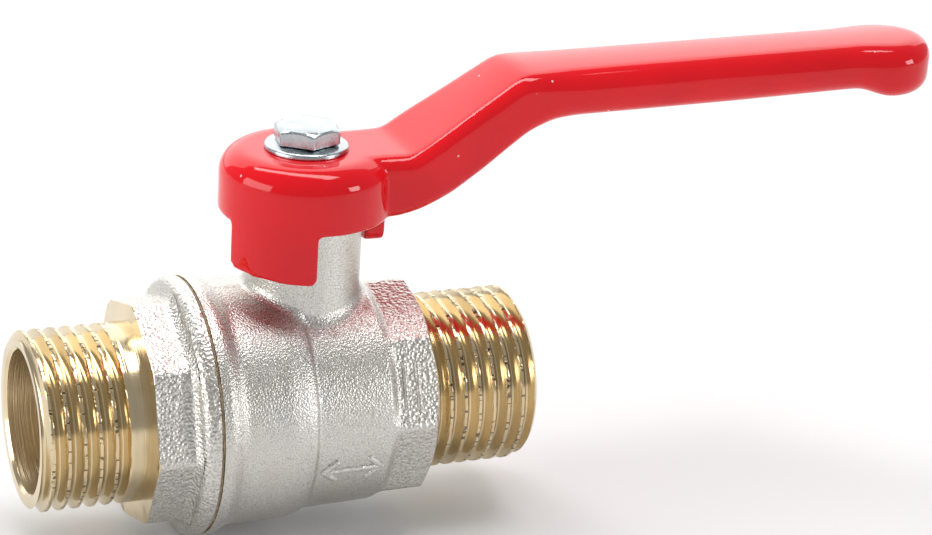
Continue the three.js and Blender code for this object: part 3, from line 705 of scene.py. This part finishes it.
class OBJECT_OT_valve_adapter(bpy.types.Operator):
    """End adapter with its octagon, flange and inlet thread, and the bead of sealant at the seam"""
    bl_idname = "object.valve_adapter"
    bl_label = "End adapter"

    def execute(self, context):
        t, b = in_mm(context.scene.valve_thread), in_mm(context.scene.valve_body)
        looks = finishes()
        angle = around(ROUND)[None]
        face, flange, seam, bend_start, end_radius, rounding = -20.68, -15.8, -13.8, -17, 13.25, 1.2
        threaded, crest = threaded_end(b.inlet_face, face, t.inlet_crest, t, 1.9)
        x = np.concatenate([np.arange(face, -19.9, 0.08), np.arange(-19.9, -16.6, 0.4),
                            np.arange(-16.6, flange, 0.1)])[:, None]
        flats = octagon(angle, b.adapter_flats, ADAPTER_TURN)
        turned = end_radius + (x - face) / math.tan(CHAMFER)
        fillet = np.clip((x - bend_start) / (flange - bend_start), 0, 1) ** 3
        octagonal = about_pipe(x, np.minimum(flats + fillet, turned), angle)
        swing = np.linspace(0, QUARTER, 7)
        edge = [(flange + rounding * (1 - math.cos(s)), b.collar - rounding * (1 - math.sin(s)))
                for s in swing]
        disc = turned_x([
            *edge, (seam - 0.15, b.collar), (seam, b.collar - 0.15), (seam, SPIGOT), (SPIGOT_END, SPIGOT),
            (SPIGOT_END, POCKET), (-POCKET_END, POCKET), (-POCKET_END, SEAT_BORE), (-19.7, SEAT_BORE),
            (-20.7, t.bore), (b.inlet_face + LIP, t.bore), (b.inlet_face, t.bore + LIP),
        ], ROUND)
        rows = np.concatenate([threaded, octagonal, disc])
        brass, plated, bored = range(3)
        flats_start = len(threaded)
        disc_start = flats_start + len(octagonal)
        plated_end = disc_start + len(edge) + 2
        finish = np.full((len(rows), ROUND), brass)
        within = octagonal[..., 1] ** 2 + octagonal[..., 2] ** 2 < (turned - 0.02) ** 2
        finish[flats_start:disc_start] = np.where((x > face + 0.02) & within, plated, brass)
        finish[disc_start - 1:plated_end] = plated
        finish[plated_end:-2] = bored
        crests = np.zeros(rows.shape[:2])
        crests[:len(threaded)] = crest
        mesh = mesh_of("end_adapter_forging", [shell(rows, ring=True, finish=finish, crest=crests)],
                       [looks["brass"], looks["flats"], looks["bore"]])
        place(mesh, "valve", "machined_brass", "end_adapter")
        place(mesh_of("sealant_bead", [sealant_bead(b)], [looks["sealant"]], 60),
              "valve", "sealant", "joint_sealant")
        return {"FINISHED"}


class OBJECT_OT_valve_inside(bpy.types.Operator):
    """Ball, its two seats, and the finishes of the stem and its seals"""
    bl_idname = "object.valve_inside"
    bl_label = "Ball, seats and stem"

    def execute(self, context):
        looks = finishes()
        mouth = BALL_BORE + BALL_EDGE
        start = math.asin(mouth / BALL)
        swing = np.linspace(start, math.pi - start, 65)
        sphere = [(-BALL * math.cos(s), BALL * math.sin(s)) for s in swing]
        bore_end = math.sqrt(BALL ** 2 - mouth ** 2) - BALL_EDGE
        rows = turned_x([*sphere, (bore_end, BALL_BORE), (-bore_end, BALL_BORE)], 128)
        place(mesh_of("chromed_ball", [shell(rows, ring=True)], [looks["chrome"]]),
              "ball", "chromed_brass", "ball")
        hollow = BALL + 0.08
        swing = np.linspace(math.acos(SEAT_NEAR / hollow), math.asin(SEAT_BORE / hollow), 9)
        for side, node in ((-1, "seat_inlet"), (1, "seat_outlet")):
            profile = [(side * hollow * math.cos(s), hollow * math.sin(s)) for s in swing]
            profile += [(side * SEAT_FAR, SEAT_BORE), (side * SEAT_FAR, SEAT_RIM),
                        (side * SEAT_NEAR, SEAT_RIM)]
            place(mesh_of(node + "_ring", [shell(turned_x(profile, 128), ring=True)], [looks["ptfe"]]),
                  "valve", "ptfe", node)
        kept = {"stem": "brass", "stem_thrust_washer": "ptfe", "stem_o_ring_lower": "nitrile",
                "stem_o_ring_upper": "nitrile"}
        for node, finish in kept.items():
            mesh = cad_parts[node].data
            mesh.materials.clear()
            mesh.materials.append(looks[finish])
        return {"FINISHED"}


# ---- Handle ----


ARM_START = 4  # where the arm begins inside the hub, along its length
HUB_WALL = 7.6  # radius of the hollow under the hub


def arm_top(x, h):
    """The arm's upper line: level from the hub, up the crank, then along the grip with a slight rise."""
    knots = [(-20, h.hub_top), (11.3, h.hub_top), (24.6, 39.2), (26, 39.4), (76, 40.15), (90, 40.15)]
    return soft_curve(x, knots, 0.6)


def arm_bottom(x, h):
    """The arm's lower line, which hollows under the crank and drops at the bulb."""
    knots = [(-20, h.skirt), (9.4, h.skirt), (12, 23.9), (16, 25.6), (19.6, 27.9), (22.6, 30.1),
             (25.6, 32.2), (28.7, 33.35), (31.4, 33.6), (52, 33.9), (70.2, 34.35), (73.4, 33.3), (90, 33.25)]
    return soft_curve(x, knots, 0.7)


def arm_half_width(x, h):
    """Half the arm's width: broad at the hub, slim along the grip, broad again at the bulb."""
    knots = [(-20, 6.15), (8, 6.15), (12, 6.55), (14, 6.55), (18, 6.2), (24, 5.85), (30, h.grip_width),
             (69, h.grip_width - 0.2), (73.4, h.bulb_width), (90, h.bulb_width)]
    return soft_curve(x, knots, 0.5)


def arm_edge(x, h):
    """Radius of the arm's edges: tight at the hub, rounder on the grip and at the tip."""
    knots = [(-20, h.edge), (24, h.edge), (32, 2.2), (66, 2.3), (73, h.tip_edge), (90, h.tip_edge)]
    return soft_curve(x, knots, 1.0)


def arm_shell(h):
    """The arm: its outline seen from above, and at each place on it a side wall with rounded edges between
    the lower and upper lines, carried in to the middle. The upper face falls away from its middle as y
    squared. The tip's outline is a half circle."""
    tip_x = h.tip - h.bulb_width
    stretches = [(ARM_START, 14, 0.2), (14, 34, 0.35), (34, 66, 1.5), (66, tip_x, 0.5)]
    straight = np.concatenate([np.arange(*stretch) for stretch in stretches])
    swing = np.linspace(QUARTER, 0, 33)
    x = np.concatenate([straight, tip_x + h.bulb_width * np.cos(swing)])
    y = np.concatenate([arm_half_width(straight, h), h.bulb_width * np.sin(swing)])
    slope_x, slope_y = np.gradient(x), np.gradient(y)
    size = np.hypot(slope_x, slope_y)
    out_x, out_y = -slope_y / size, slope_x / size
    out_x[-1], out_y[-1] = 1, 0
    turn = np.linspace(0, QUARTER, 7)
    edge = arm_edge(x, h)[:, None]
    crown = h.crown * smooth_step(x, 12, 28)[:, None] / h.grip_width ** 2
    inset = edge * (1 - np.sin(turn))
    drop = edge * (1 - np.cos(turn))
    px = x[:, None] - out_x[:, None] * inset
    py = np.maximum(y[:, None] - out_y[:, None] * inset, 0)
    top = np.stack([px, py, arm_top(px, h) - drop - crown * py ** 2], -1)
    low = np.stack([px, py, arm_bottom(px, h) + drop], -1)[:, ::-1]
    wall_x, inner = px[:, :1], py[:, :1] * np.linspace(0, 0.9, 10)
    lid = np.stack(np.broadcast_arrays(wall_x, inner, arm_top(wall_x, h) - crown * inner ** 2), -1)
    keel = np.stack(np.broadcast_arrays(wall_x, inner[:, ::-1], arm_bottom(wall_x, h)), -1)
    half = np.concatenate([lid, top, low, keel], 1)
    other = half[:, -2:0:-1] * np.array([1, -1, 1])
    rows = np.concatenate([half, other], 1)
    first = np.broadcast_to(rows[0].mean(0), rows[0].shape)
    return shell(np.concatenate([first[None], rows]))


def hub_shell(h):
    """The hub: a disc with a rounded upper edge over a skirt, hollow underneath for the neck."""
    chamfer, ceiling = 0.3, 27.2
    swing = np.linspace(0, QUARTER, 9)
    rim = [(h.hub - h.rim * (1 - math.sin(s)), h.hub_top - h.rim * (1 - math.cos(s))) for s in swing]
    profile = [(0, h.hub_top), (4, h.hub_top), *rim, (h.hub, h.skirt + chamfer), (h.hub - chamfer, h.skirt),
               (HUB_WALL + chamfer, h.skirt), (HUB_WALL, h.skirt + chamfer), (HUB_WALL, ceiling),
               (0, ceiling)]
    return shell(turned_z(profile, 144))


def skirt_wall(start, end, bottom, rounding, h):
    """A wall of the skirt's thickness from one angle to another, each a function of the radius, with its
    lower corners rounded to a quarter circle. Its bottom is a function of the share of the way along it."""
    share = np.concatenate([[0], np.linspace(0, 1, 49), [1]])[:, None]
    radius = np.array([h.hub, h.hub, h.hub, HUB_WALL, HUB_WALL, HUB_WALL])[None]
    height = np.array([1, 0.5, 0, 0, 0.5, 1])[None]
    begin, finish = start(radius), end(radius)
    angle = begin + (finish - begin) * share
    near_end = np.minimum(share, 1 - share) * (finish - begin) * radius
    corner = rounding - np.sqrt(rounding ** 2 - np.clip(rounding - near_end, 0, rounding) ** 2)
    floor = bottom(share) + corner
    buried = 2
    rows = about_stem(radius, floor + (h.skirt + buried - floor) * height, angle)
    return shell(capped(rows))


class OBJECT_OT_valve_handle(bpy.types.Operator):
    """Red lever: hub, stop walls and cranked arm in one coated skin"""
    bl_idname = "object.valve_handle"
    bl_label = "Handle"

    def execute(self, context):
        h = in_mm(context.scene.valve_handle)
        stop_face = 2.45
        apron_end, tab_start = math.radians(261), math.radians(-4)
        apron = skirt_wall(lambda r: math.pi + np.arcsin(stop_face / r),
                           lambda r: np.full_like(r, apron_end),
                           lambda share: 17.95 - 0.7 * share, 0.9, h)
        tab = skirt_wall(lambda r: np.full_like(r, tab_start),
                         lambda r: np.arccos(stop_face / r),
                         lambda share: np.full_like(share, 18.5), 1.3, h)
        parts = mesh_of("red_lever", [hub_shell(h), arm_shell(h), apron, tab], [finishes()["enamel"]])
        voxel_mm, rounds = 0.24, 9
        skin = fused(parts, voxel_mm, rounds)
        if not skin.materials:
            skin.materials.append(finishes()["enamel"])
        place(skin, "handle", "red_enamel", "handle")
        return {"FINISHED"}


def bolt_shell(low, high, h):
    """The bolt: an M4 shank under a hexagon, whose radius is half its flats over the cosine of the angle
    from the nearest flat. A cone takes its upper corners off, outside a round crown."""
    shank, head_height, tip, ease, turn_deg = 2, 2, 0.3, 0.12, 22
    head = high - head_height
    across = h.bolt_flats / 2
    angle = around(192)[None]
    off = (angle - math.radians(turn_deg + 30) + math.pi / 6) % (math.pi / 3) - math.pi / 6
    hexagon = soft_min(across / np.cos(off), across / math.cos(math.pi / 6) - 0.03, 0.05)
    crown = across * 0.94
    eased = high - ease - (hexagon - crown) * math.tan(CHAMFER)
    levels = [(0, low), (shank - tip, low), (shank, low + tip), (shank, head), (hexagon - ease, head),
              (hexagon, head + ease), (hexagon, eased - 0.1), (hexagon - 0.08, eased), (crown, high - ease),
              (crown - 0.5, high - 0.02), (0, high)]
    rows = [about_stem(radius * np.ones_like(angle), height, angle) for radius, height in levels]
    return shell(np.concatenate(rows))


def washer_shell(z, h):
    """The washer: a ring dished a little under the bolt's head, with a rounded rim, from height z up."""
    w, hole = h.washer, 2.2
    dished = [(hole, z + 0.3), (w - 0.15, z), (w, z + 0.12), (w, z + 0.4), (w - 0.08, z + 0.56),
              (w - 0.25, z + 0.66), (w - 0.5, z + 0.7), (3.4, z + 0.85), (3.1, z + 0.9), (hole, z + 0.9)]
    return shell(turned_z(dished, 128), ring=True)


class OBJECT_OT_valve_fastening(bpy.types.Operator):
    """M4 bolt with its chamfered hexagon, and the dished washer under it"""
    bl_idname = "object.valve_fastening"
    bl_label = "Bolt and washer"

    def execute(self, context):
        h = in_mm(context.scene.valve_handle)
        looks = finishes()
        low, high = (corner[2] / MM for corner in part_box("handle_bolt"))
        place(mesh_of("zinc_bolt", [bolt_shell(low, high, h)], [looks["zinc"]], 24),
              "handle", "zinc_steel", "handle_bolt")
        place(mesh_of("dished_washer", [washer_shell(h.hub_top - SUNK, h)], [looks["zinc"]], 40),
              "handle", "zinc_steel", "handle_washer")
        return {"FINISHED"}


# ---- Studio ----


def softbox(name, at, aim, width, height, power, turn_deg=0):
    """A rectangular lamp at a place, facing another, turned about the line between them."""
    lamp = bpy.data.lights.new(name, "AREA")
    lamp.shape = "RECTANGLE"
    lamp.size, lamp.size_y, lamp.energy = width, height, power
    box = bpy.data.objects.new(name, lamp)
    box.location = at
    turned = Quaternion((0, 0, 1), math.radians(turn_deg))
    box.rotation_euler = ((Vector(aim) - Vector(at)).to_track_quat("-Z", "Y") @ turned).to_euler()
    bpy.context.scene.collection.objects.link(box)


def floor_mesh(reach, squares, height):
    """A level sheet of squares that reaches this far each way, at a height just under the valve."""
    along = np.linspace(-reach, reach, squares + 1)
    x, y = np.meshgrid(along, along, indexing="ij")
    points = np.stack([x, y, np.full_like(x, height)], -1).reshape(-1, 3)
    i, j = (n.ravel() for n in np.meshgrid(np.arange(squares), np.arange(squares), indexing="ij"))
    width = squares + 1
    corners = np.stack([i * width + j, (i + 1) * width + j, (i + 1) * width + j + 1, i * width + j + 1], -1)
    mesh = bpy.data.meshes.new("floor")
    mesh.from_pydata(points, [], corners)
    return mesh


def pale_floor_paint(tone):
    """Matt pale paint on the floor, with the faintest cloudiness."""
    material, tree, where = blank("pale_floor_paint")
    cloud = add(tree, "TexNoise", {"Vector": where, "Scale": per_lump(60)}, "Fac")
    base = add(tree, "Mix", {FACTOR: cloud, FIRST: darker(tone, 0.985), SECOND: tone}, MIXED, **COLOURS)
    shade(tree, {"Base Color": base, "Roughness": 0.7})
    return material


def place_camera(scene):
    """A long lens in front, to the left and a little above, slightly rolled and shifted."""
    azimuth, elevation, roll = 0.4057, 0.3546, 0.0613
    aim, away = Vector((0.019989, 0, 0.018783)), 0.33401
    ahead = Vector((math.cos(elevation) * math.sin(azimuth), math.cos(elevation) * math.cos(azimuth),
                    -math.sin(elevation)))
    right = Vector((math.cos(azimuth), -math.sin(azimuth), 0))
    up = right.cross(ahead)
    across = right * math.cos(roll) + up * math.sin(roll)
    upright = up * math.cos(roll) - right * math.sin(roll)
    lens = bpy.data.cameras.new("camera")
    lens.sensor_width, lens.lens = 36, 108.69142
    lens.shift_x, lens.shift_y = 0.00436, -0.03991
    lens.clip_start = 0.01
    camera = bpy.data.objects.new("camera", lens)
    turn = Matrix((across, upright, -ahead)).transposed()
    camera.matrix_world = Matrix.Translation(aim - ahead * away) @ turn.to_4x4()
    scene.collection.objects.link(camera)
    scene.camera = camera


class OBJECT_OT_valve_studio(bpy.types.Operator):
    """Pale floor, soft lamps and the camera"""
    bl_idname = "object.valve_studio"
    bl_label = "Studio"

    def execute(self, context):
        scene = context.scene
        clear_of_valve = 0.0002
        mesh = floor_mesh(4, 8, CAD_LOW[2] - clear_of_valve)
        mesh.materials.append(pale_floor_paint(tuple(scene.valve_colours.floor)))
        floor = bpy.data.objects.new("floor", mesh)
        scene.collection.objects.link(floor)
        floor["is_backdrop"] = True

        world = bpy.data.worlds.new("studio")
        world.use_nodes = True
        fill = 0.36
        world.node_tree.nodes["Background"].inputs["Color"].default_value = (fill, fill, fill, 1)
        scene.world = world
        middle = (0, 0, 0.02)
        softbox("back_softbox", (0.3, 1.35, 0.75), (0, 0, 0.03), 3.0, 1.5, 20)
        softbox("left_softbox", (-1.5, -0.1, 0.4), middle, 1.2, 0.7, 10)
        softbox("top_softbox", (-0.03, 0.31, 1.3), (-0.03, 0.31, 0), 1.56, 0.34, 12.5, -47)
        softbox("right_softbox", (1.04, -0.9, 0.35), middle, 0.4, 0.4, 4)

        place_camera(scene)
        scene.view_settings.view_transform = "Standard"
        return {"FINISHED"}


class VIEW3D_PT_valve(bpy.types.Panel):
    """The valve's pieces in the order they are made"""
    bl_label = "Ball Valve"
    bl_space_type = "VIEW_3D"
    bl_region_type = "UI"
    bl_category = "Ball Valve"

    def draw(self, context):
        for step in STEPS:
            self.layout.operator(step.bl_idname)
        for name in GROUPS:
            box = self.layout.box()
            group = getattr(context.scene, name)
            for prop in group.bl_rna.properties:
                if prop.identifier not in ("rna_type", "name"):
                    box.prop(group, prop.identifier)


GROUPS = {"valve_thread": ThreadSizes, "valve_body": BodySizes, "valve_handle": HandleSizes,
          "valve_colours": FinishColours}
STEPS = (OBJECT_OT_valve_body, OBJECT_OT_valve_adapter, OBJECT_OT_valve_inside, OBJECT_OT_valve_handle,
         OBJECT_OT_valve_fastening, OBJECT_OT_valve_studio)


def register():
    for kind in (*GROUPS.values(), *STEPS, VIEW3D_PT_valve):
        bpy.utils.register_class(kind)
    for name, kind in GROUPS.items():
        setattr(bpy.types.Scene, name, PointerProperty(type=kind))


def unregister():
    for name in GROUPS:
        delattr(bpy.types.Scene, name)
    for kind in (VIEW3D_PT_valve, *reversed(STEPS), *reversed(GROUPS.values())):
        bpy.utils.unregister_class(kind)


def main():
    register()
    bpy.ops.object.valve_body()
    bpy.ops.object.valve_adapter()
    bpy.ops.object.valve_inside()
    bpy.ops.object.valve_handle()
    bpy.ops.object.valve_fastening()
    bpy.ops.object.valve_studio()


if __name__ == "__main__":
    main()
